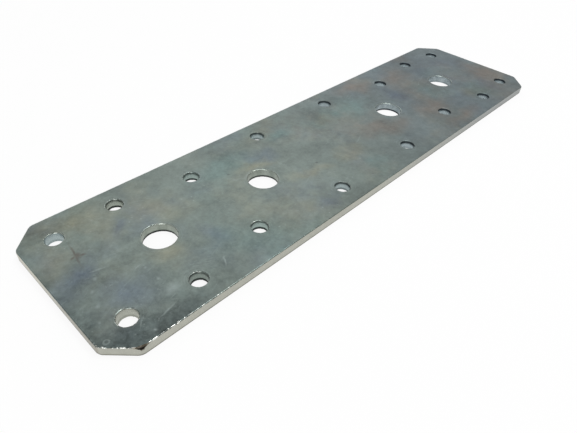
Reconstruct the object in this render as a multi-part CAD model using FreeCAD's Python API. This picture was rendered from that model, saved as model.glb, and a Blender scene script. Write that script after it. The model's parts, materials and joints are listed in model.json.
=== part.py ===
import FreeCAD, Part
import math
import os

# A flat connector plate for joining timber: one sheet-steel blank with cut corners,
# four bolt holes on its centre line and two zigzag rows of nail holes.
# It lies on its underside. +X runs along the plate, +Y across it and +Z up,
# and the origin is the middle of the underside. All sizes are in millimetres.

# the blank
plate_length = 210.0
plate_width = 55.0
sheet_thickness = 3.0
corner_cut = 7.0  # how much a corner takes off each side, at 45 degrees
corner_radius = 2.5  # the rounding where two sides meet, seen from above

# what shearing and punching leave on the section
edge_roll = 0.35  # radius of the outline's upper edge, drawn down before the metal parted
lower_bevel = 0.2  # the broken lower edge of the outline
mouth_roll = 0.35  # radius of the rolled mouth of a hole
smooth_wall = 1.9  # depth from the upper face to where a hole's straight wall ends
break_flare = 0.15  # how much wider each side of a hole is below, where the slug tore out

# bolt holes on the centre line, as distances from the nearer end
bolt_hole_diameter = 10.0
outer_bolt_inset = 31.0
inner_bolt_inset = 70.5

# nail holes: the distance from the nearer end, then from the nearer long side
nail_hole_diameter = 5.0
end_nail_inset = 9.5
end_nail_margin = 9.5
second_nail_inset = 29.0
second_nail_margin = 7.5
third_nail_inset = 54.0
third_nail_margin = 11.5
middle_nail_inset = 86.5
middle_nail_margin = 7.5

# the torn upper edge at the near left corner
nick_on_cut = 1.1  # how far it runs from the corner along the cut
nick_on_side = 2.4  # how far it runs from the corner along the long side
nick_depth = 1.2

# how far a cutting tool stands out of the metal, so that it never ends on a face
tool_overrun = 1.0
# how far two heights may differ and still be the same
same_height = 1e-6
# straight steps in the quarter round of a hole's rolled mouth
mouth_steps = 2

ORIGIN = FreeCAD.Vector(0, 0, 0)
UP = FreeCAD.Vector(0, 0, 1)

half_length = plate_length / 2
half_width = plate_width / 2


def polygon_face(points):
    """A flat face inside a closed polygon."""
    return Part.Face(Part.makePolygon(points + points[:1]))


def edges_between(solid, low, high):
    """The straight or curved edges that start at one height and end at another."""
    return [
        edge
        for edge in solid.Edges
        if abs(edge.BoundBox.ZMin - low) < same_height
        and abs(edge.BoundBox.ZMax - high) < same_height
    ]


def outline_corners():
    """The eight corners of the blank, once round it."""
    quarter = [(half_length, half_width - corner_cut), (half_length - corner_cut, half_width)]
    half = quarter + [(-x, y) for x, y in reversed(quarter)]
    corners = half + [(-x, -y) for x, y in half]
    return [FreeCAD.Vector(x, y, 0) for x, y in corners]


def sheared_blank():
    """The blank before punching, with its corners rounded and its upper edge rolled over."""
    top = sheet_thickness
    blank = polygon_face(outline_corners()).extrude(UP * top)
    blank = blank.makeFillet(corner_radius, edges_between(blank, 0, top))
    blank = blank.makeFillet(edge_roll, edges_between(blank, top, top))
    return blank.makeChamfer(lower_bevel, edges_between(blank, 0, 0))


def rolled_mouth(radius):
    """Points down the rolled edge of a hole: a quarter round, taken in a few straight steps."""
    points = []
    for step in range(mouth_steps + 1):
        turn = math.radians(90 * step / mouth_steps)
        out = radius + mouth_roll * (1 - math.sin(turn))
        up = sheet_thickness - mouth_roll * (1 - math.cos(turn))
        points.append(FreeCAD.Vector(out, 0, up))
    return points


def punch(diameter):
    """What a punch takes out of the sheet, standing on the origin: a rolled mouth, a straight
    wall and, below it, the slightly wider zone where the slug tore away."""
    radius = diameter / 2
    above = sheet_thickness + tool_overrun
    flare_end = radius + break_flare
    section = [FreeCAD.Vector(0, 0, above), FreeCAD.Vector(radius + mouth_roll, 0, above)]
    section += rolled_mouth(radius)
    section += [
        FreeCAD.Vector(radius, 0, sheet_thickness - smooth_wall),
        FreeCAD.Vector(flare_end, 0, 0),
        FreeCAD.Vector(flare_end, 0, -tool_overrun),
        FreeCAD.Vector(0, 0, -tool_overrun),
    ]
    return polygon_face(section).revolve(ORIGIN, UP, 360)


def bolt_hole_places():
    """The bolt holes of both ends, all on the centre line."""
    return [
        FreeCAD.Vector(end * (half_length - inset), 0, 0)
        for inset in (outer_bolt_inset, inner_bolt_inset)
        for end in (-1, 1)
    ]


def nail_hole_places():
    """Four stations from each end, mirrored across the centre line: the two zigzag rows."""
    stations = [
        (end_nail_inset, end_nail_margin),
        (second_nail_inset, second_nail_margin),
        (third_nail_inset, third_nail_margin),
        (middle_nail_inset, middle_nail_margin),
    ]
    return [
        FreeCAD.Vector(end * (half_length - inset), side * (half_width - margin), 0)
        for inset, margin in stations
        for end in (-1, 1)
        for side in (-1, 1)
    ]


def punches(diameter, places):
    """One punch of this diameter at each place."""
    tool = punch(diameter)
    return [tool.translated(place) for place in places]


def corner_nick():
    """A pyramid over the near left corner, where the cropping tool tore the upper edge away.
    Its base is the facet left there, which crosses the cut, the long side and the upright edge."""
    corner = FreeCAD.Vector(corner_cut - half_length, -half_width, sheet_thickness)
    on_cut = corner + FreeCAD.Vector(-1, 1, 0).normalize() * nick_on_cut
    on_side = corner + FreeCAD.Vector(nick_on_side, 0, 0)
    below = corner - UP * nick_depth
    middle = (on_cut + on_side + below) / 3
    base = [middle + (point - middle) * 2 for point in (on_cut, on_side, below)]
    outwards = (on_side - below).cross(on_cut - below).normalize()
    tip = corner + outwards * tool_overrun
    sides = [[base[i - 1], base[i], tip] for i in range(len(base))]
    return Part.Solid(Part.Shell([polygon_face(side) for side in [base] + sides]))


def plate():
    """The finished plate."""
    tools = punches(bolt_hole_diameter, bolt_hole_places())
    tools += punches(nail_hole_diameter, nail_hole_places())
    return sheared_blank().cut(tools + [corner_nick()])


os.makedirs("parts", exist_ok=True)
body = plate()
body.exportStep("parts/plate.step")
box = body.optimalBoundingBox()
print("one solid:", body.isValid() and len(body.Solids) == 1)
print("length, width, thickness:", [round(v, 3) for v in (box.XLength, box.YLength, box.ZLength)])
print("volume in cubic millimetres:", round(body.Volume, 1))
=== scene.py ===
# %% [markdown]
# A zinc plated connector plate
#
# A plate like this joins two timbers end to end or face to face. It is sheared from a strip of
# steel, its corners are cropped, its holes are punched, and only then is it plated with zinc.
# So everything that the eye reads on it comes from three things: the blank, the marks that
# the tools left on its edges, and the bluish, cloudy skin of the plating.
# This lesson makes them in that order.

# %% Load the measured plate
import bmesh
import bpy
import functools
import json
import math
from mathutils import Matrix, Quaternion, Vector


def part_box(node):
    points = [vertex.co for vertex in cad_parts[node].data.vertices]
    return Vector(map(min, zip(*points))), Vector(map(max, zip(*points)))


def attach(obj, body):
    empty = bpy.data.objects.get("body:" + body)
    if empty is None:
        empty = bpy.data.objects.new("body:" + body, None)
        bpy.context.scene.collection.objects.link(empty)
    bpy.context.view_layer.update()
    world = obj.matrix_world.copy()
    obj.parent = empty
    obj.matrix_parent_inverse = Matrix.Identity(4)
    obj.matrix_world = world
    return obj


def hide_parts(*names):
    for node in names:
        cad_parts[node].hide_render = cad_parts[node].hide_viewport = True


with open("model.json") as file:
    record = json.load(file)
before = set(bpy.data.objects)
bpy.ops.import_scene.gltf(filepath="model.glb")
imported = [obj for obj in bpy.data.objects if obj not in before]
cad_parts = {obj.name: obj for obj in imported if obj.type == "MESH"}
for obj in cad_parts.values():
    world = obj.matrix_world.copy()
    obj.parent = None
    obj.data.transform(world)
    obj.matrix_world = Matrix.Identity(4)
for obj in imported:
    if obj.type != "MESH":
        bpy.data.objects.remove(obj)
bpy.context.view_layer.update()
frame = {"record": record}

mm_per_m = 1000
low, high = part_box("plate")
length, width, thickness = high - low
print("plate:", " x ".join(f"{size * mm_per_m:.1f}" for size in (length, width, thickness)), "mm")

# %% [markdown]
# Where the holes stand
#
# The holes could be typed in again here, but the measured plate already states them as bolt
# patterns: a spacing along the plate, a spacing across it and a hole radius. Reading them keeps
# both models in step. The large holes stand in pairs on the centre line, and the small ones
# in fours, so each pattern is unfolded into its holes.

# %% Unfold the hole patterns
def pattern_holes(mount):
    """The holes of one bolt pattern: their places, as (x, y), and their radius, in metres."""
    dims = mount["dims"]
    half_x = dims["spacing_x_mm"] / 2 / mm_per_m
    half_y = dims.get("spacing_y_mm", 0) / 2 / mm_per_m
    x, y, _ = mount["pos_m"]
    places = {(x + i * half_x, y + j * half_y) for i in (-1, 1) for j in (-1, 1)}
    return sorted(places), dims["hole_r_mm"] / mm_per_m


patterns = [m for m in frame["record"]["mounts"] if m["kind"] == "bolt_pattern"]
holes_by_radius = {}
for pattern in patterns:
    places, radius = pattern_holes(pattern)
    holes_by_radius.setdefault(radius, []).extend(places)
nail_radius, bolt_radius = sorted(holes_by_radius)
for radius, places in sorted(holes_by_radius.items()):
    print(f"{len(places)} holes of {radius * 2 * mm_per_m:.1f} mm")

# %% [markdown]
# Working in edit mode
#
# An operator acts on whatever is selected. The loaded plate starts out selected, and so does a
# new primitive, so the habit is always the same: deselect everything, then select by a rule,
# such as "both ends of the edge lie on the upper face". These two helpers do that.

# %% Selection helpers
mm = 0.001
hair = 0.001 * mm
bpy.ops.object.select_all(action="DESELECT")


def only(piece):
    """Makes one object the selected and active one, in object mode."""
    bpy.ops.object.select_all(action="DESELECT")
    piece.select_set(True)
    bpy.context.view_layer.objects.active = piece
    return piece


def pick(piece, kind, wanted):
    """In edit mode, selects the edges or vertices whose points all pass the test, and no others."""
    bpy.ops.mesh.select_mode(type=kind)
    bpy.ops.mesh.select_all(action="DESELECT")
    mesh = bmesh.from_edit_mesh(piece.data)
    for element in mesh.edges if kind == "EDGE" else mesh.verts:
        points = [v.co for v in element.verts] if kind == "EDGE" else [element.co]
        element.select_set(all(wanted(p) for p in points))
    bmesh.update_edit_mesh(piece.data)


print("still selected:", len(bpy.context.selected_objects))

# %% [markdown]
# The blank
#
# The blank is a flat box. It could be drawn as an outline and extruded, but cutting it is
# closer to how it is made: a box of the full size has its four corners sliced off by a plane at
# 45 degrees, as the cropping tool does. Bisect does that, and fills the cut.

# %% Crop the corners
corner_cut = 7.0 * mm

bpy.ops.mesh.primitive_cube_add(
    size=1, location=(0, 0, thickness / 2), scale=(length, width, thickness)
)
plate = bpy.context.active_object
plate.name = "punched_plate"
bpy.ops.object.transform_apply(location=True, rotation=True, scale=True)
bpy.ops.object.mode_set(mode="EDIT")
for side_x in (-1, 1):
    for side_y in (-1, 1):
        bpy.ops.mesh.select_all(action="SELECT")
        on_cut = (side_x * (length / 2 - corner_cut), side_y * width / 2, 0)
        bpy.ops.mesh.bisect(
            plane_co=on_cut, plane_no=(side_x, side_y, 0), use_fill=True, clear_outer=True
        )
print("faces after cropping:", len(bmesh.from_edit_mesh(plate.data).faces))

# %% [markdown]
# Corners seen from above
#
# No shear leaves a knife edge where two sides meet, so the eight upright edges are rounded a
# little. A bevel's offset isn't the radius of its rounding. Where two sides turn by an angle, the
# rounding reaches back along each of them by the radius times the tangent of half that angle.

# %% Round the upright edges
corner_radius = 2.5 * mm
corner_segments = 6
turn_between_sides = math.radians(45)
setback = corner_radius * math.tan(turn_between_sides / 2)

bpy.ops.mesh.select_mode(type="EDGE")
bpy.ops.mesh.select_all(action="DESELECT")
mesh = bmesh.from_edit_mesh(plate.data)
for edge in mesh.edges:
    a, b = (v.co for v in edge.verts)
    edge.select_set((a - b).xy.length < hair)
bmesh.update_edit_mesh(plate.data)
bpy.ops.mesh.bevel(offset=setback, segments=corner_segments, affect="EDGES")
print("outline points:", len(mesh.verts) // 2)

# %% [markdown]
# Edges that can be worn
#
# A sheared edge is never quite straight. To let it waver later, each side of the outline needs
# points along its length, a little closer than a millimetre. Subdividing the upper and the lower
# edge of one side together splits that side into upright strips. Going side by side matters:
# with two opposite sides selected at once, the strips would run right across the flat faces.
# One more cut runs round the sides where the smooth, sheared band ends and the torn one begins.

# %% Divide the sides
strip = 0.7 * mm
most_pieces = 97
tear_height = 1.1 * mm
diagonal_way = math.sqrt(0.5)


def pick_level_edges(piece, outwards):
    """Selects the upper and lower edges of the side that faces outwards."""
    bpy.ops.mesh.select_all(action="DESELECT")
    mesh = bmesh.from_edit_mesh(piece.data)
    reach = max(v.co.dot(outwards) for v in mesh.verts)
    for edge in mesh.edges:
        a, b = (v.co for v in edge.verts)
        on_side = min(a.dot(outwards), b.dot(outwards)) > reach - hair
        edge.select_set(on_side and abs(a.z - b.z) < hair)
    bmesh.update_edit_mesh(piece.data)


def divide_side(piece, outwards, side_length):
    """Splits one side into upright strips, in two goes where it is long."""
    strips = side_length / strip
    first = math.ceil(strips / most_pieces)
    for pieces in (first, round(strips / first)):
        if pieces > 1:
            pick_level_edges(piece, outwards)
            bpy.ops.mesh.subdivide(number_cuts=pieces - 1)


long_side = length - 2 * corner_cut - 2 * setback
end_side = width - 2 * corner_cut - 2 * setback
cut_side = corner_cut * math.sqrt(2) - 2 * setback
for end in (-1, 1):
    divide_side(plate, Vector((0, end, 0)), long_side)
    divide_side(plate, Vector((end, 0, 0)), end_side)
    for way in (-1, 1):
        divide_side(plate, Vector((end, way, 0)) * diagonal_way, cut_side)
bpy.ops.mesh.select_all(action="SELECT")
bpy.ops.mesh.bisect(plane_co=(0, 0, tear_height), plane_no=(0, 0, 1))

print("points after dividing:", len(bmesh.from_edit_mesh(plate.data).verts))

# %% [markdown]
# Rolled above, broken below
#
# When a blade comes down on a sheet, the metal is first drawn down and then parts. So the upper
# edge is round, and the lower one is a small ragged break. Two bevels give that section: several
# segments above, and two below.

# %% Roll the upper edge and break the lower one
edge_roll = 0.35 * mm
roll_segments = 4
lower_break = 0.2 * mm
break_segments = 2

pick(plate, "EDGE", lambda p: abs(p.z - thickness) < hair)
bpy.ops.mesh.bevel(offset=edge_roll, segments=roll_segments, affect="EDGES")
pick(plate, "EDGE", lambda p: abs(p.z) < hair)
bpy.ops.mesh.bevel(offset=lower_break, segments=break_segments, affect="EDGES")
print("faces with both edges bevelled:", len(bmesh.from_edit_mesh(plate.data).faces))

# %% [markdown]
# Room for the holes
#
# A face in Blender can't have a hole inside it: the Boolean would bridge the hole to the outline
# with a seam, and a big face with many seams may be filled wrongly. If the blank is first cut
# through the middle of every hole, each face only gets a bite out of its edge, which is safe.

# %% Cut the blank through the middle of the holes
stations = sorted({x for places in holes_by_radius.values() for x, _ in places})
for station in stations:
    bpy.ops.mesh.select_all(action="SELECT")
    bpy.ops.mesh.bisect(plane_co=(station, 0, 0), plane_no=(1, 0, 0))
print("stations of holes:", len(stations))

# %% [markdown]
# The waver of a sheared edge
#
# Randomize moves selected points by a small seeded amount. The two flat faces must stay flat,
# so only the points between them are moved, and the outline of the upper face is moved and then
# pressed flat again. Wear never makes a plate larger, so whatever was moved past one of the
# blank's outermost planes is pressed back onto it: scaling by nothing along one axis does that.

# %% Let the edges waver
waver = 0.035 * mm
tear_waver = 0.03 * mm
tear_band = 0.1 * mm  # the tear line has wavered once already when it is picked
seed_sides, seed_tear, seed_rim = 4, 9, 12
roll_floor = thickness - edge_roll


def press_back(piece, axis, limit):
    """Presses the points that stand out past one plane back onto it."""
    sign = math.copysign(1, limit)
    pick(piece, "VERT", lambda p: p[axis] * sign > limit * sign)
    amount = [1, 1, 1]
    amount[axis] = 0
    centre = [0, 0, 0]
    centre[axis] = limit
    bpy.ops.transform.resize(value=amount, center_override=centre)


pick(plate, "VERT", lambda p: lower_break + hair < p.z < thickness - hair)
bpy.ops.transform.vertex_random(offset=waver, seed=seed_sides)
pick(plate, "VERT", lambda p: abs(p.z - tear_height) < tear_band)
bpy.ops.transform.vertex_random(offset=tear_waver, seed=seed_tear)
pick(plate, "VERT", lambda p: abs(p.z - thickness) < hair)
bpy.ops.transform.vertex_random(offset=waver, seed=seed_rim)
bpy.ops.transform.resize(value=(1, 1, 0), center_override=(0, 0, thickness))
for end in (-1, 1):
    press_back(plate, 0, end * length / 2)
    press_back(plate, 1, end * width / 2)
press_back(plate, 2, thickness)
bpy.ops.object.mode_set(mode="OBJECT")
print("blank:", len(plate.data.polygons), "faces")

# %% [markdown]
# A punch
#
# A hole could be a cylinder cut from the plate, but a punched hole isn't a cylinder. The sheet
# is drawn down round its mouth, the wall is smooth for about two thirds of the way, and below
# that the slug tears out. The torn zone of a large hole is a little wider. In a small one the
# torn lips hang inwards and hide some of the table. The cutting body has that shape: a disc,
# extruded upwards ring by ring and scaled at each step.

# %% Build one punch
smooth_wall = 1.9 * mm
overrun = 1.0 * mm
mouth_steps = 4
exit_change = {nail_radius: -0.15 * mm, bolt_radius: 0.05 * mm}
punch_sides = {nail_radius: 64, bolt_radius: 96}


def punch_rings(radius):
    """Heights and radii of the rings of a punch, from below the plate to above it."""
    way_out = radius + exit_change[radius]
    rings = [(-overrun, way_out), (0, way_out), (thickness - smooth_wall, radius)]
    for step in range(mouth_steps + 1):
        turn = math.radians(90 * step / mouth_steps)
        up = thickness - edge_roll * (1 - math.sin(turn))
        rings.append((up, radius + edge_roll * (1 - math.cos(turn))))
    rings.append((thickness + overrun, radius + edge_roll))
    return rings


def make_punch(radius, sides):
    """A closed cutting body on the origin, made by extruding and scaling a disc."""
    rings = punch_rings(radius)
    height, reach = rings[0]
    bpy.ops.mesh.primitive_circle_add(
        vertices=sides, radius=reach, fill_type="NGON", location=(0, 0, height)
    )
    bpy.ops.object.transform_apply(location=True, rotation=True, scale=True)
    bpy.ops.object.mode_set(mode="EDIT")
    for up, out in rings[1:]:
        step = {"value": (0, 0, up - height)}
        bpy.ops.mesh.extrude_region_move(TRANSFORM_OT_translate=step)
        grow = out / reach
        bpy.ops.transform.resize(value=(grow, grow, 1), center_override=(0, 0, up))
        height, reach = up, out
    bpy.ops.mesh.select_all(action="SELECT")
    bpy.ops.mesh.normals_make_consistent(inside=False)
    bpy.ops.object.mode_set(mode="OBJECT")
    return bpy.context.active_object


masters = {radius: make_punch(radius, sides) for radius, sides in punch_sides.items()}
for radius, master in masters.items():
    master.name = f"punch_{radius * 2 * mm_per_m:.0f}"
    print(master.name, "has", len(master.data.polygons), "faces")

# %% [markdown]
# Twenty punches that differ a little
#
# Each punch is copied to its places, and every copy gets a mesh of its own, because its torn
# zone is then roughened with a seed of its own. No two holes tear alike, and the one nearest to
# the camera is worn a little wider than the rest.
# All the copies are joined into one cutting body, so that the plate is cut only once.

# %% Copy the punches and roughen their torn zones
torn_rough = 0.07 * mm
mouth_rough = 0.03 * mm
first_punch_seed = 20
worn_hole = Vector((-95.5, -18.0)) * mm
worn_growth = 1.07


def roughen(tool, seed):
    """Moves the points of a punch's torn zone and of its mouth by a little."""
    bpy.ops.object.mode_set(mode="EDIT")
    pick(tool, "VERT", lambda p: -hair < p.z < thickness - smooth_wall + hair)
    bpy.ops.transform.vertex_random(offset=torn_rough, seed=seed)
    pick(tool, "VERT", lambda p: roll_floor - hair < p.z < thickness + hair)
    bpy.ops.transform.vertex_random(offset=mouth_rough, seed=seed + 1)
    bpy.ops.object.mode_set(mode="OBJECT")


tools = []
for radius, master in masters.items():
    for x, y in sorted(holes_by_radius[radius]):
        only(master)
        bpy.ops.object.duplicate(linked=False)
        tool = bpy.context.active_object
        roughen(tool, seed=2 * len(tools) + first_punch_seed)
        tool.location = (x, y, 0)
        if (Vector((x, y)) - worn_hole).length < mm:
            tool.scale = (worn_growth, worn_growth, 1)
        tools.append(tool)
for master in masters.values():
    bpy.data.objects.remove(master)
print("punches:", len(tools))

# %% [markdown]
# Wear at the near corner
#
# At one corner the cropping tool tore the upper edge away and left a dark, slanting facet, and
# there are a few small chips along the edges beside it. They are cut by the same operation as
# the holes: the facet by a block whose roughened underside lies in it, and the chips by small
# pebbles, which are spheres flattened and roughened.

# %% Shape the tools that wear the corner
nick_on_cut = 1.7 * mm
nick_on_side = 2.6 * mm
nick_depth = 1.05 * mm
block_size = 4.0 * mm
block_cuts = 9
facet_rough = 0.06 * mm
facet_seed = 3
pebble_rough = 0.1  # as a share of the pebble's smallest reach
first_chip_seed = 60
near_corner = Vector((corner_cut - length / 2, -width / 2, thickness))

on_cut = near_corner + Vector((-1, 1, 0)).normalized() * nick_on_cut
on_side = near_corner + Vector((nick_on_side, 0, 0))
below = near_corner - Vector((0, 0, nick_depth))
outwards = (on_side - below).cross(on_cut - below).normalized()
bpy.ops.mesh.primitive_cube_add(
    size=block_size,
    location=(on_cut + on_side + below) / 3 + outwards * block_size / 2,
    rotation=outwards.to_track_quat("Z", "Y").to_euler(),
)
bpy.ops.object.mode_set(mode="EDIT")
bpy.ops.mesh.subdivide(number_cuts=block_cuts)
bpy.ops.transform.vertex_random(offset=facet_rough, seed=facet_seed)
bpy.ops.object.mode_set(mode="OBJECT")
tools.append(bpy.context.active_object)


def pebble(middle, reach, seed):
    """A small rough body that chips an edge, with its middle and its reaches in millimetres."""
    bpy.ops.mesh.primitive_ico_sphere_add(
        subdivisions=3, radius=1, location=[v * mm for v in middle], scale=[v * mm for v in reach]
    )
    bpy.ops.object.transform_apply(location=True, rotation=True, scale=True)
    bpy.ops.object.mode_set(mode="EDIT")
    bpy.ops.transform.vertex_random(offset=pebble_rough * min(reach) * mm, seed=seed)
    bpy.ops.object.mode_set(mode="OBJECT")
    return bpy.context.active_object


# the plate's half length, half width and upper face in millimetres, which the finish uses too
half_l, half_w, top = (v / mm for v in (length / 2, width / 2, thickness))
# a chip has a middle and three reaches
chips = [
    ((-half_l + 5.0, -half_w + 1.7, top), (0.30, 0.30, 0.35)),
    ((-half_l + 2.8, -half_w + 4.0, top), (0.22, 0.22, 0.25)),
    ((-half_l + 0.0, -half_w + 7.2, top), (0.45, 0.50, 0.40)),
    ((-half_l + 0.0, -half_w + 16.0, top), (0.25, 0.60, 0.22)),
    ((-half_l + 17.0, -half_w, top), (0.60, 0.22, 0.22)),
    ((-half_l + 38.0, -half_w, top), (0.45, 0.25, 0.25)),
    ((-half_l + 71.0, -half_w, top), (0.70, 0.20, 0.25)),
    ((half_l - 3.2, -half_w + 3.6, top), (0.35, 0.31, 0.30)),
    ((half_l, 9.0, top), (0.25, 0.50, 0.25)),
    ((12.0, half_w, top), (0.60, 0.25, 0.25)),
]
for number, (middle, reach) in enumerate(chips):
    tools.append(pebble(middle, reach, seed=first_chip_seed + number))
print("tools that wear the edge:", len(chips) + 1)

# %% [markdown]
# Punching
#
# One Boolean takes all the tools out of the blank. The exact solver is slower than the fast one,
# but it copes with a body made of many closed shells. It leaves a few points almost on top of each
# other, so points closer than half a thousandth of a millimetre are then merged.

# %% Punch the plate
weld = 0.0005 * mm

bpy.ops.object.select_all(action="DESELECT")
for tool in tools:
    tool.select_set(True)
bpy.context.view_layer.objects.active = tools[0]
bpy.ops.object.join()
press = bpy.context.active_object
only(press)
bpy.ops.object.transform_apply(location=True, rotation=True, scale=True)

only(plate)
cut = plate.modifiers.new("punching", "BOOLEAN")
cut.operation = "DIFFERENCE"
cut.solver = "EXACT"
cut.object = press
bpy.ops.object.modifier_apply(modifier=cut.name)
bpy.data.objects.remove(press)
bpy.ops.object.mode_set(mode="EDIT")
bpy.ops.mesh.select_all(action="SELECT")
bpy.ops.mesh.remove_doubles(threshold=weld)
bpy.ops.object.mode_set(mode="OBJECT")
print("punched plate:", len(plate.data.polygons), "faces")

# %% [markdown]
# Shading
#
# The rolls should look round and the flat faces flat. Smooth shading by angle keeps the hard
# edges hard. The big faces also share points with the narrow strips of the rolls, so their
# shading would bend towards the edge. Weighted normals let the largest face win there.

# %% Smooth the rolls and keep the faces flat
hard_angle = math.radians(38)
face_area_counts = 100  # the top of its scale: the larger face decides

only(plate)
bpy.ops.object.shade_smooth_by_angle(angle=hard_angle)
weighted = plate.modifiers.new("flat faces win", "WEIGHTED_NORMAL")
weighted.weight = face_area_counts
weighted.keep_sharp = True
bpy.ops.object.modifier_apply(modifier=weighted.name)
print("smooth faces:", sum(face.use_smooth for face in plate.data.polygons))

# %% [markdown]
# Shader maths in plain Python
#
# Zinc plating has no pattern that could be drawn. It is a sum of many faint things, so its
# shader is mostly arithmetic. Wiring dozens of Math nodes by hand hides the idea, so a small
# class wraps one output of a node and lets Python's own operators add the Math nodes. A second
# one holds the tree, and serves the plate, the floor and the world alike.

# %% A value on the surface, and the tree that it lives in
class Amount:
    """A number that varies over the surface: one output of a shader node."""

    def __init__(self, tree, socket):
        self.tree = tree
        self.socket = socket

    def __add__(self, other):
        return self.tree.maths("ADD", self, other)

    def __sub__(self, other):
        return self.tree.maths("SUBTRACT", self, other)

    def __rsub__(self, other):
        return self.tree.maths("SUBTRACT", other, self)

    def __mul__(self, other):
        return self.tree.maths("MULTIPLY", self, other)

    __radd__ = __add__
    __rmul__ = __mul__


class Finish:
    """The node tree of a material or of the world."""

    def __init__(self, owner):
        self.owner = owner
        owner.use_nodes = True
        self.nodes = owner.node_tree.nodes
        self.links = owner.node_tree.links
        self.nodes.clear()

    def node(self, kind, settings=None, sockets=None, output=0):
        """Adds a node, sets it up, feeds its sockets and returns one of its outputs."""
        made = self.nodes.new(kind)
        for name, value in (settings or {}).items():
            setattr(made, name, value)
        for name, value in (sockets or {}).items():
            if isinstance(value, Amount):
                self.links.new(value.socket, made.inputs[name])
            else:
                made.inputs[name].default_value = value
        return Amount(self, made.outputs[output]) if made.outputs else None

    def maths(self, operation, *values):
        """A Math node on one, two or three values."""
        return self.node("ShaderNodeMath", {"operation": operation}, dict(enumerate(values)))

    def step(self, value, start, end):
        """Rises smoothly from 0 at start to 1 at end, or falls if start is the larger."""
        return self.node(
            "ShaderNodeMapRange",
            {"interpolation_type": "SMOOTHSTEP"},
            {"Value": value, "From Min": start, "From Max": end},
        )

    def blend(self, mask, under, over, mode="MIX"):
        """The colour over laid on the colour under, where the mask says."""
        factor, colour_a, colour_b, result = 0, 6, 7, 2
        return self.node(
            "ShaderNodeMix",
            {"data_type": "RGBA", "blend_type": mode},
            {factor: mask, colour_a: under, colour_b: over},
            output=result,
        )


def paint(red, green, blue):
    """A screen colour, 0 to 255, turned by the sRGB curve into the light that it stands for."""
    shares = [v / 255 for v in (red, green, blue)]
    return tuple(((v + 0.055) / 1.055) ** 2.4 for v in shares) + (1.0,)


# %% [markdown]
# A ruler for the finish
#
# Much of what the finish does depends on how near a point is to an edge: rolled rims catch the
# light, cut walls are paler, and dirt gathers beside both. The shader can work that
# distance out from the plate's own sizes. The outline is three straight distances, and because
# the holes mirror across both centre lines, a quarter of them is enough.

# %% Measure distances in the shader
zinc = Finish(bpy.data.materials.new("zinc_plating"))


def scaled(vector, factor):
    """A vector times a plain number."""
    return zinc.node("ShaderNodeVectorMath", {"operation": "SCALE"}, {0: vector, "Scale": factor})


# the point that is shaded, in millimetres
place = scaled(zinc.node("ShaderNodeTexCoord", output="Object"), 1 / mm)
x, y, z = (zinc.node("ShaderNodeSeparateXYZ", {}, {0: place}, output=axis) for axis in range(3))
facing = zinc.node(
    "ShaderNodeSeparateXYZ", {}, {0: zinc.node("ShaderNodeTexCoord", output="Normal")}, output=2
)
across_x = zinc.maths("ABSOLUTE", x)
across_y = zinc.maths("ABSOLUTE", y)


def smallest(values):
    """The smallest of several values."""
    return functools.reduce(lambda a, b: zinc.maths("MINIMUM", a, b), values)


def largest(values):
    """The largest of several values, such as the strongest of several masks."""
    return functools.reduce(lambda a, b: zinc.maths("MAXIMUM", a, b), values)


def hole_distance(hole, radius):
    """How far outside one hole's wall a point is, in millimetres."""
    along = across_x - hole[0] / mm
    aside = across_y - hole[1] / mm
    return zinc.maths("SQRT", along * along + aside * aside) - radius / mm


diagonal = (length / 2 + width / 2 - corner_cut) / mm / math.sqrt(2)
inside_outline = smallest([
    half_l - across_x,
    half_w - across_y,
    diagonal - (across_x + across_y) * (1 / math.sqrt(2)),
])
quarter_holes = [
    (hole, radius)
    for radius, places in holes_by_radius.items()
    for hole in places
    if hole[0] > 0 and hole[1] >= 0
]
outside_holes = smallest(hole_distance(hole, radius) for hole, radius in quarter_holes)
print("holes measured in the shader:", len(quarter_holes))

# %% [markdown]
# Clouds
#
# Three sizes of noise do most of the work: blooms of a few centimetres, mottling of a few
# millimetres and a fine tooth. Rolling leaves streaks along the plate, so one noise is
# stretched that way. Coordinates are bent by a noise of their own first, which frays the
# borders of everything drawn with them.

# %% Noise helpers
def clouds(size, detail=2.0, roughness=0.5, seed=0.0, stretch=None, at=None):
    """Noise from 0 to 1 whose lumps are about so many millimetres across, or longer if stretched."""
    vector = at or place
    if stretch:
        shares = [1 / s for s in stretch]
        vector = zinc.node("ShaderNodeMapping", {}, {"Vector": vector, "Scale": shares})
    sockets = {
        "Vector": vector,
        "W": seed,
        "Scale": 1 / size,
        "Detail": detail,
        "Roughness": roughness,
    }
    return zinc.node("ShaderNodeTexNoise", {"noise_dimensions": "4D"}, sockets, output="Fac")


def bent(size, reach):
    """The surface coordinates, pushed about by noise of one size by up to about reach."""
    noise = zinc.node(
        "ShaderNodeTexNoise",
        {},
        {"Vector": scaled(place, 1 / size), "Scale": 1.0, "Detail": 3.0},
        output="Color",
    )
    half = (0.5, 0.5, 0.5)
    centred = zinc.node("ShaderNodeVectorMath", {"operation": "SUBTRACT"}, {0: noise, 1: half})
    push = scaled(centred, 2 * reach)
    return zinc.node("ShaderNodeVectorMath", {"operation": "ADD"}, {0: place, 1: push})


frayed = bent(size=9.0, reach=6.0)
scribbled = bent(size=2.5, reach=0.5)


def blot(x, y, reach_x, reach_y, turn=0, at=None):
    """A soft oval stain: 1 in its middle and 0 at its reach, in millimetres."""
    local = zinc.node(
        "ShaderNodeMapping",
        {"vector_type": "TEXTURE"},
        {
            "Vector": at or frayed,
            "Location": (x, y, top),
            "Rotation": (0, 0, math.radians(turn)),
            "Scale": (reach_x, reach_y, 1000),
        },
    )
    away = zinc.node("ShaderNodeVectorMath", {"operation": "LENGTH"}, {0: local}, output="Value")
    return zinc.step(away, 1.0, 0.0)


def away_from(x, y, z, at):
    """The distance from one point, in millimetres."""
    return zinc.node(
        "ShaderNodeVectorMath", {"operation": "DISTANCE"}, {0: at, 1: (x, y, z)}, output="Value"
    )


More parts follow.
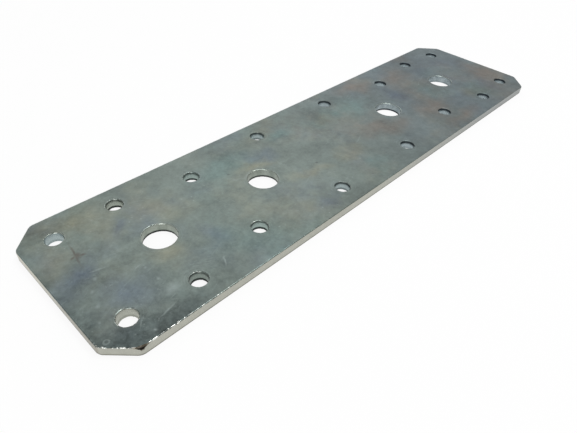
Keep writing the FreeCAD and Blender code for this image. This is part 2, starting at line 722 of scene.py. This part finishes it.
def dot(x, y, reach, at=None):
    """A soft round stain, which needs one node less than an oval one."""
    return zinc.step(away_from(x, y, top, at or scribbled), reach, 0.0)


# %% [markdown]
# The bloom of the plating
#
# The clear blue passivation on zinc is thinner in some places than in others, and shifts from
# olive through blue to rose. Each tint gets its own mask: broad noise for the bloom that is
# everywhere, and a few listed blots for the stains that stand out on this plate. The far end
# is bluer underneath, and the rose stains belong to it: the near end gets only a quarter of them.

# %% Mix the tints
steel_grey = paint(115, 126, 121)
far_grey = paint(115, 127, 130)
# each tint has a strength, the size of its bloom, a colour, how much of it the near end gets,
# and its stains as x, y, reach along, reach across and turn
tints = {
    "olive": (0.56, 26.0, paint(139, 137, 116), 1.0, [
        (-89, 22, 17, 10, -10), (-76, -8, 6, 8, 20), (-20, -8, 12, 5, -25), (-1, -9, 11, 6, 0),
        (-66, 9, 9, 14, 50), (9, 11, 5, 5, 0), (76, -14, 9, 7, 0), (-32, 8, 11, 4, -15),
    ]),
    "blue": (0.62, 19.0, paint(97, 109, 122), 1.0, [
        (-100, 0, 10, 9, 20), (-89, -12, 12, 9, -20), (-62, -11, 7, 7, 0), (-81, 11, 4, 6, -30),
        (-27, 11, 10, 5, -20), (-27, -22, 9, 5, 0), (76, 12, 13, 8, 30), (47, 6, 7, 12, 0),
        (88, -17, 9, 8, 0),
    ]),
    "teal": (0.58, 33.0, paint(108, 134, 132), 1.0, [
        (-40, 14, 19, 8, 0), (20, 11, 24, 10, 0), (61, 0, 8, 16, 20), (-12, 16, 11, 7, 0),
        (80, -16, 9, 11, 0), (2, -20, 9, 7, 0),
    ]),
    "rose": (0.72, 26.0, paint(130, 121, 112), 0.25, [
        (38, 22, 17, 7, -10), (60, 14, 17, 9, 42), (23, -7, 18, 8, -15), (50, -12, 14, 9, 0),
        (54, -23, 17, 7, 0), (97, -6, 11, 15, 0),
    ]),
}


def tint_mask(strength, size, blots, seed):
    """Where one tint shows: hand-placed stains, and a faint bloom all over."""
    stain_share, bloom_share = 0.85, 0.66
    stains = largest(blot(*numbers) for numbers in blots)
    bloom = zinc.step(clouds(size, detail=5.0, roughness=0.6, seed=seed), 0.46, 0.72)
    ragged = 0.45 + clouds(4.0, detail=5.0, roughness=0.65, seed=seed) * 1.1
    both = stains * stain_share + bloom * bloom_share
    return zinc.maths("MINIMUM", both * ragged * strength, 1.0)


far_end = zinc.step(x, -30.0, 70.0)
past_middle = zinc.step(x, -50.0, 30.0)
skin = zinc.blend(far_end, steel_grey, far_grey)
for number, (strength, size, colour, near_share, blots) in enumerate(tints.values()):
    mask = tint_mask(strength, size, blots, seed=1.7 * number)
    if near_share < 1:
        mask = mask * (near_share + past_middle * (1 - near_share))
    skin = zinc.blend(mask, skin, colour)
print("tints:", ", ".join(tints))

# %% [markdown]
# Light and dark on the skin
#
# Over the tints lies a plain change of lightness. Noises of five sizes are added up: a fine grain,
# mottling, streaks of rolling, patches of a centimetre and clouds of two. Then come areas placed
# one by one: painted shade that darkens the near corner, where its flat face mirrors little light,
# painted light on the middle of the near half, a few lighter areas and a few duller ones.
# Some pale dust goes on top: specks, a sparkle near the corner, faint arcs round the holes, as
# washers leave them, and hairline scratches. The scratches are noise stretched thirty times as
# long as wide and cut off high, so that only its crests show.

# %% Shade the skin
mottle = clouds(3.2, detail=6.0, roughness=0.72)
grain = clouds(0.9, detail=3.0, roughness=0.7, at=scribbled)
streak = clouds(5.0, detail=5.0, roughness=0.65, stretch=(6, 1, 1), at=frayed)
broad = clouds(20.0, detail=4.0, roughness=0.55, seed=9.0)
patches = clouds(9.0, detail=3.0, roughness=0.55, seed=3.0, at=frayed)
near_end = zinc.step(x, -64.0, -92.0)
# painted shade: the near corner is darkened, where its flat face mirrors little light
corner_painted_shade = largest([
    blot(-97, -29, 32, 17, 4), blot(-106, -24, 14, 16), blot(-107, -6, 8, 26) * 0.6,
])
corner_painted_shade = zinc.step(corner_painted_shade, 0.05, 0.75)
# painted light: the middle of the near half is lightened, where the face mirrors the softbox
middle_painted_light = blot(-62, 3, 26, 24)
lit = largest(dot(*numbers, at=frayed) for numbers in [
    (-12, -15, 15), (16, -14, 15), (34, -16, 15), (-24, -6, 13), (-84, 24, 14), (102, 24, 10),
])
dull = largest(dot(*numbers, at=frayed) for numbers in [
    (-10, 20, 17), (8, 17, 16), (24, 20, 13), (-66, -22, 14), (-52, -20, 14), (-34, 20, 12),
])
layers = [(mottle, 0.85), (grain, 0.42), (streak, 0.42), (broad, 0.68), (patches, 0.44)]
texture = sum(cloud * share for cloud, share in layers) - sum(share for _, share in layers) / 2
usual_shade = 0.98
near_contrast, near_lift, corner_shade_loss, middle_lift, area_change = 0.4, 0.14, 0.50, 0.05, 0.17
shade = usual_shade + texture * (1 + near_end * near_contrast)
shade = shade + near_end * near_lift - corner_painted_shade * corner_shade_loss + middle_painted_light * middle_lift
shade = shade + lit * area_change - dull * area_change


def hairlines(turn, seed):
    """Fine scratches that all run at about one angle, in loose groups."""
    turned = zinc.node(
        "ShaderNodeVectorRotate", {}, {"Vector": scribbled, "Angle": math.radians(turn)}
    )
    noise = clouds(0.5, detail=1.0, seed=seed, stretch=(30, 1, 1), at=turned)
    return zinc.step(noise, 0.66, 0.72) * zinc.step(clouds(13.0, seed=seed), 0.5, 0.62)


scratches = largest(hairlines(turn, seed=turn) for turn in (28, -20, 75))
# this noise changes quickly away from a hole and slowly along the plate, so it forms arcs
arcs_at = zinc.node(
    "ShaderNodeCombineXYZ", {}, {"X": outside_holes * 2.6, "Y": x * 0.15, "Z": y * 0.15}
)
turned_by_tools = zinc.node(
    "ShaderNodeTexNoise", {}, {"Vector": arcs_at, "Scale": 1.0, "Detail": 2.0}, output="Fac"
)
hole_scuffs = zinc.step(turned_by_tools, 0.56, 0.66) * zinc.step(outside_holes, 4.5, 1.0)
cells = zinc.node(
    "ShaderNodeTexVoronoi",
    {},
    {"Vector": scribbled, "Scale": 0.42, "Randomness": 1.0},
    output="Distance",
)
specks = zinc.step(cells, 0.15, 0.05) * zinc.step(clouds(14.0, seed=5.0), 0.5, 0.62)

grey_shade = zinc.node("ShaderNodeCombineColor", {}, {0: shade, 1: shade, 2: shade})
# the painted corner shade is bluish as well
skin = zinc.blend(corner_painted_shade * 0.5, skin, paint(112, 128, 130))
skin = zinc.blend(1.0, skin, grey_shade, mode="MULTIPLY")
pale_dust = paint(172, 184, 182)
sparkle = zinc.step(clouds(0.7, detail=2.0, seed=8.0), 0.64, 0.74) * zinc.step(x, -70, -98)
skin = zinc.blend(sparkle * 0.22, skin, pale_dust)
skin = zinc.blend(specks * 0.25, skin, pale_dust)
skin = zinc.blend(scratches * 0.16, skin, pale_dust)
skin = zinc.blend(hole_scuffs * 0.10, skin, pale_dust)
print("noises in the shade:", len(layers))

# %% [markdown]
# Marks of handling
#
# A few marks are this plate's own: a brown smudge shaped like a cross beside the first nail hole,
# a pale scratch below it, a small ring near the cropped corner, a dark pit between the middle
# holes and some pale dots. A line is a very thin blot, drawn on lightly scribbled coordinates.

# %% Draw the marks
smudges = [
    (-94.1, 8.2, 1.5, 1.9, 0), (-94.3, 9.0, 0.55, 6.6, -8), (-92.9, 7.6, 1.5, 0.7, -10),
    (-95.3, 8.0, 1.3, 0.6, 15),
]
pits = [(-14.8, -5.5, 0.75), (-41.4, 8.9, 0.8), (-101.2, -22.3, 0.6), (-99.9, -25.7, 0.5)]
pale_lines = [
    (-92.6, -0.1, 3.4, 0.45, -16), (-94.0, -21.5, 2.2, 0.3, 50), (-85.0, -6.0, 1.6, 0.4, 20),
    (-82.6, -18.0, 3.4, 2.6, 20), (-67.0, -19.5, 0.35, 3.0, -30), (-87.5, -22.8, 4.0, 0.4, 12),
]
pale_dots = [
    (-98.8, -10.5, 0.9), (-101.0, -15.1, 0.6), (-92.9, -25.4, 0.8), (-94.8, -2.2, 0.9),
    (-83.5, -7.4, 0.6), (-83.2, -13.0, 0.7), (-97.5, -5.6, 0.9),
]

ring_away = away_from(-102.6, -20.9, top, scribbled)
ring = zinc.step(ring_away, 0.35, 0.6) * zinc.step(ring_away, 0.95, 0.7)
smudge = largest(blot(*numbers, at=scribbled) for numbers in smudges)
skin = zinc.blend(smudge * 0.6, skin, paint(92, 78, 70))
pit = largest(dot(*numbers) for numbers in pits)
skin = zinc.blend(pit * 0.55, skin, paint(66, 66, 62))
pale = largest(blot(*numbers, at=scribbled) for numbers in pale_lines)
pale = largest([pale, largest(dot(*numbers) for numbers in pale_dots)])
skin = zinc.blend(pale * 0.3, skin, pale_dust)
skin = zinc.blend(ring * 0.28, skin, pale_dust)
print("smudges, pits, lines and dots:", *map(len, (smudges, pits, pale_lines, pale_dots)))

# %% [markdown]
# Cut metal
#
# Sheared sides are cleaner and paler than the rolled faces, warm at the near end and bluish
# further off, with a dark line along the broken lower edge that is partly the break and partly
# painted contact shade. The walls of the large holes kept the colour of the skin. Those of the
# small holes carry painted shade and a painted reflection: dark below the mouth, paler in the
# middle, where they mirror the white table, and almost black where the slug tore. Each band is
# a range of heights, with a ragged border. Not all are alike: the two nail holes at the near end
# and two of the bolt holes get almost none of the painted shade, and the far nail holes are dark
# above and pale all the way down.

# %% Colour the cut metal
on_wall = zinc.step(zinc.maths("ABSOLUTE", facing), 0.62, 0.3)
in_hole = zinc.step(outside_holes, 1.2, 0.8)
in_large = largest(
    zinc.step(hole_distance(hole, radius), 1.2, 0.8)
    for hole, radius in quarter_holes
    if radius == bolt_radius
)
ragged_z = z + (clouds(1.6, detail=4.0) - 0.5) * 0.35
side_grain = clouds(2.0, detail=4.0, roughness=0.6, stretch=(1, 1, 3))
along = zinc.step(x, -30.0, 90.0)

side = zinc.blend(along, paint(186, 187, 176), paint(150, 155, 156))
near_face = zinc.step(x, -104.6, -104.9)
side = zinc.blend(near_face * zinc.step(y, -8.0, 12.0), side, paint(206, 203, 188))
side = zinc.blend(near_face * zinc.step(y, 2.0, -14.0) * 0.5, side, paint(134, 122, 104))
side = zinc.blend(side_grain * 0.5, side, paint(138, 138, 128))
# the dark lower line is partly the broken edge and partly painted contact shade
lower_line = zinc.step(z, 0.55, 0.32)
side = zinc.blend(lower_line * 0.75, side, paint(92, 88, 76))

far_hole = zinc.step(x, -36.0, -4.0)
dull_wall = zinc.blend(far_hole, paint(132, 141, 131), paint(134, 147, 150))
fair_wall = zinc.blend(far_hole, paint(158, 166, 156), paint(166, 177, 180))
large_wall = zinc.blend(zinc.step(side_grain, 0.3, 0.7), dull_wall, fair_wall)
# the pale small-hole walls are partly a painted reflection of the white table
second_wall = zinc.blend(zinc.step(y, -4.0, 4.0), paint(136, 148, 140), paint(168, 176, 164))
small_wall = zinc.blend(zinc.step(x, -74.0, -54.0), second_wall, paint(166, 184, 178))
small_wall = zinc.blend(far_hole, small_wall, paint(180, 193, 197))
small_wall = zinc.blend(mottle * 0.35, small_wall, paint(130, 140, 138))
first_hole = zinc.step(x, -88.0, -90.0)
first_wall = zinc.blend(zinc.step(y, -4.0, 4.0), paint(176, 179, 169), paint(170, 183, 183))
small_wall = zinc.blend(first_hole, small_wall, first_wall)
wall = zinc.blend(in_large, small_wall, large_wall)

# holes that get almost none of the painted shade
unshaded_holes = [(-95.5, -18, 7), (-95.5, 18, 7), (74, 0, 12), (-34.5, 0, 6.7)]
unshaded = zinc.step(largest(dot(*numbers, at=place) for numbers in unshaded_holes), 0.0, 0.3)
# painted shade: dark bands in the hole walls below the mouth and where the slug tore
below_mouth = zinc.step(ragged_z + far_hole * 0.35, 1.9, 2.6) * (1 - in_large)
torn = zinc.step(ragged_z, 0.80, 0.55)
torn_shows = 1 - (1 - in_large) * far_hole * 0.9
painted_hole_shade = largest([below_mouth * (0.7 + far_hole * 0.2), torn * torn_shows * 0.95])
painted_hole_shade = painted_hole_shade * (1 - unshaded * 0.92)
wall = zinc.blend(painted_hole_shade, wall, zinc.blend(far_end, paint(44, 50, 48), paint(30, 38, 48)))

cut_metal = zinc.blend(in_hole, side, wall)
colour = zinc.blend(on_wall, skin, cut_metal)
print("clean holes:", len(unshaded_holes))

# %% [markdown]
# Burnished rims, painted highlights and the torn corner
#
# Wear polishes the rolled rims in short dashes and leaves dark nicks between them, most of all
# by the near corner. Painted highlights lie on the bright dashes too, where the rims catch the
# overhead lamp. A noise with lumps of a millimetre decides which is where. One painted highlight
# runs on the long side just beyond the torn facet. The facet itself is painted almost black,
# brown towards the upper face.

# %% Burnish the rims, paint highlights on them and blacken the facet
rim = zinc.step(zinc.maths("MINIMUM", inside_outline, outside_holes), 0.5, 0.1)
rolled = zinc.step(facing, 0.995, 0.95) * zinc.step(facing, 0.2, 0.4)
dashes = clouds(0.8, detail=3.0, roughness=0.65)
near_edges = zinc.step(x, -62.0, -88.0) * zinc.step(y, -16.0, -20.0)
# where burnish and painted highlights go: the near edges, and more faintly the nearer hole rims
burnish_and_highlight_reach = largest([near_edges, in_hole * zinc.step(x, 60.0, -60.0) * 0.35])
burnish_and_painted_highlight = rolled * burnish_and_highlight_reach * zinc.step(dashes, 0.50, 0.60)
nicked = rolled * near_edges * zinc.step(dashes, 0.42, 0.36)
# a painted highlight on the long side, just beyond the torn facet
painted_highlight_run = blot(-94.2, -half_w, 2.6, 1.0, at=place) * zinc.step(dashes, 0.40, 0.46) * rolled
# burnish and painted highlights: near-white dashes on the rolled rims
colour = zinc.blend(burnish_and_painted_highlight * 0.9, colour, paint(232, 234, 228))
colour = zinc.blend(nicked * 0.7, colour, paint(58, 56, 48))
colour = zinc.blend(painted_highlight_run, colour, paint(238, 240, 234))
# painted light: the rolls of the large holes are lightened, as they would mirror only the dim world
colour = zinc.blend(rolled * in_large * 0.32, colour, paint(180, 188, 178))

corner_x, corner_y, corner_z = (v / mm for v in near_corner)
gouge_away = away_from(corner_x + 0.35, corner_y + 0.15, corner_z - 0.25, scribbled)
slanted = zinc.step(facing, 0.95, 0.85) * zinc.step(facing, 0.12, 0.3)
colour = zinc.blend(zinc.step(gouge_away, 2.5, 1.5) * slanted * 0.8, colour, paint(104, 92, 74))
gouge = zinc.step(gouge_away, 1.9, 1.2) * slanted * zinc.step(z, 2.85, 2.45)
colour = zinc.blend(gouge, colour, paint(26, 22, 16))
print(f"torn facet at: {corner_x:.1f}, {corner_y:.1f}, {corner_z:.1f} mm")

# %% [markdown]
# Gloss and relief
#
# The plating is satin: bright enough to mirror a window softly, dull enough to hide its outline.
# A fifth of the light is scattered as by paint, so Metallic stays below 1. Rolled rims are
# burnished brighter, those of the far nail holes are dull, and torn metal is matt. Relief is a
# bump of a few grains, strongest on the rims, where it breaks the highlight into dots and dashes.

# %% Set the gloss and the relief
tooth = clouds(0.5, detail=3.0, roughness=0.6)
dull_rim = rolled * in_hole * (1 - in_large) * far_hole
satin = 0.34
metal_share = 0.8
roughness = satin + mottle * 0.10 - rolled * 0.18 + dull_rim * 0.3 + torn * on_wall * 0.2
relief = mottle * 0.012 + tooth * 0.004 + rim * dashes * 0.10 + on_wall * side_grain * 0.03
bump = zinc.node(
    "ShaderNodeBump", {}, {"Strength": 0.6, "Distance": mm, "Height": relief}, output="Normal"
)
surface = zinc.node(
    "ShaderNodeBsdfPrincipled",
    {},
    {"Base Color": colour, "Metallic": metal_share, "Roughness": roughness, "Normal": bump},
)
zinc.node("ShaderNodeOutputMaterial", {}, {"Surface": surface})
plate.data.materials.clear()
plate.data.materials.append(zinc.owner)
print("shader nodes:", len(zinc.nodes))

# %% [markdown]
# A white table and soft light
#
# The plate lies on white. The floor is white to the camera and to the metal's reflections, and
# keeps a trace of the shadow. A softbox behind the plate is what its flat face mirrors: it is
# lower than the near corner can mirror, which is why that corner is dark. A small bright lamp
# overhead draws the thin highlights on the rolled rims, and the world fills in from every side.
# The camera alone sees the world as white, so that hardly a horizon shows in a low view.

# %% Lay the floor
floor_size = 4.0
shadow_share = 0.12
white = (1, 1, 1, 1)
floor_grey = (0.9, 0.9, 0.9, 1)

bpy.ops.mesh.primitive_plane_add(size=floor_size, location=(0, 0, 0))
floor = bpy.context.active_object
floor.name = "table"
table = Finish(bpy.data.materials.new("white_table"))
is_camera = table.node("ShaderNodeLightPath", output="Is Camera Ray")
is_glossy = table.node("ShaderNodeLightPath", output="Is Glossy Ray")
is_through = table.node("ShaderNodeLightPath", output="Is Transmission Ray")
seen = table.maths("MAXIMUM", table.maths("MAXIMUM", is_camera, is_glossy), is_through)
matt = table.node("ShaderNodeBsdfDiffuse", {}, {"Color": floor_grey})
glow = table.node("ShaderNodeEmission", {}, {"Color": white, "Strength": 1.0})
mixed = table.node("ShaderNodeMixShader", {}, {0: seen * (1 - shadow_share), 1: matt, 2: glow})
table.node("ShaderNodeOutputMaterial", {}, {"Surface": mixed})
floor.data.materials.append(table.owner)
print(f"floor: {floor_size:.0f} m across")

# %% Hang the lamps
# each lamp has a place, the length of its side, and the brightness of its face
lamps = {
    "overhead_lamp": ((0.20, -0.04, 0.72), 0.30, 7.0),
    "rear_softbox": ((0.62, 0.80, 0.80), 0.70, 0.9),
    "side_lamp": ((-0.7, -0.5, 0.5), 0.50, 3.0),
}


def hang_lamp(name, stand, side_length, brightness):
    """Adds a square lamp that faces the plate's middle, with the power for its brightness."""
    bpy.ops.object.light_add(type="AREA", location=stand)
    lamp = bpy.context.active_object
    lamp.name = name
    lamp.data.size = side_length
    lamp.data.energy = brightness * math.pi * side_length ** 2
    lamp.rotation_euler = (-Vector(stand)).to_track_quat("-Z", "Y").to_euler()


for name, settings in lamps.items():
    hang_lamp(name, *settings)
print("lamps:", ", ".join(lamps))

# %% Light the world
world_level = 0.58

studio = Finish(bpy.data.worlds.new("studio"))
seen_directly = studio.node("ShaderNodeLightPath", output="Is Camera Ray")
level = world_level + seen_directly * (1 - world_level)
backdrop = studio.node("ShaderNodeBackground", {}, {"Color": white, "Strength": level})
studio.node("ShaderNodeOutputWorld", {}, {"Surface": backdrop})
bpy.context.scene.world = studio.owner
print("world level:", world_level)

# %% [markdown]
# The camera
#
# The picture looks down over the near left corner of the plate. The camera stands about fifteen
# centimetres from the point that it aims at, and is rolled by a few degrees. Its place, aim, roll
# and lens come from matching the plate's corners and holes to where they are in the picture.

# %% Place the camera
camera_place = Vector((-124.12, -92.10, 98.91)) * mm
camera_aim = Vector((-39.22, -16.24, 0)) * mm
camera_roll = math.radians(3.78)
lens = 30.951
sensor_width = 36.0
nearest_seen = 10 * mm

bpy.ops.object.camera_add(location=camera_place)
camera = bpy.context.active_object
camera.name = "camera"
camera.data.lens = lens
camera.data.sensor_width = sensor_width
camera.data.sensor_fit = "HORIZONTAL"
camera.data.clip_start = nearest_seen
direction = (camera_aim - camera_place).to_track_quat("-Z", "Y")
camera.rotation_euler = (direction @ Quaternion((0, 0, 1), camera_roll)).to_euler()
bpy.context.scene.camera = camera
bpy.context.scene.view_settings.view_transform = "Standard"
print(f"camera to aim: {(camera_aim - camera_place).length * mm_per_m:.0f} mm")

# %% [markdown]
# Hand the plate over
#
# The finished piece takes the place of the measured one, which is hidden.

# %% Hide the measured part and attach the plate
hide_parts("plate")
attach(plate, "root")
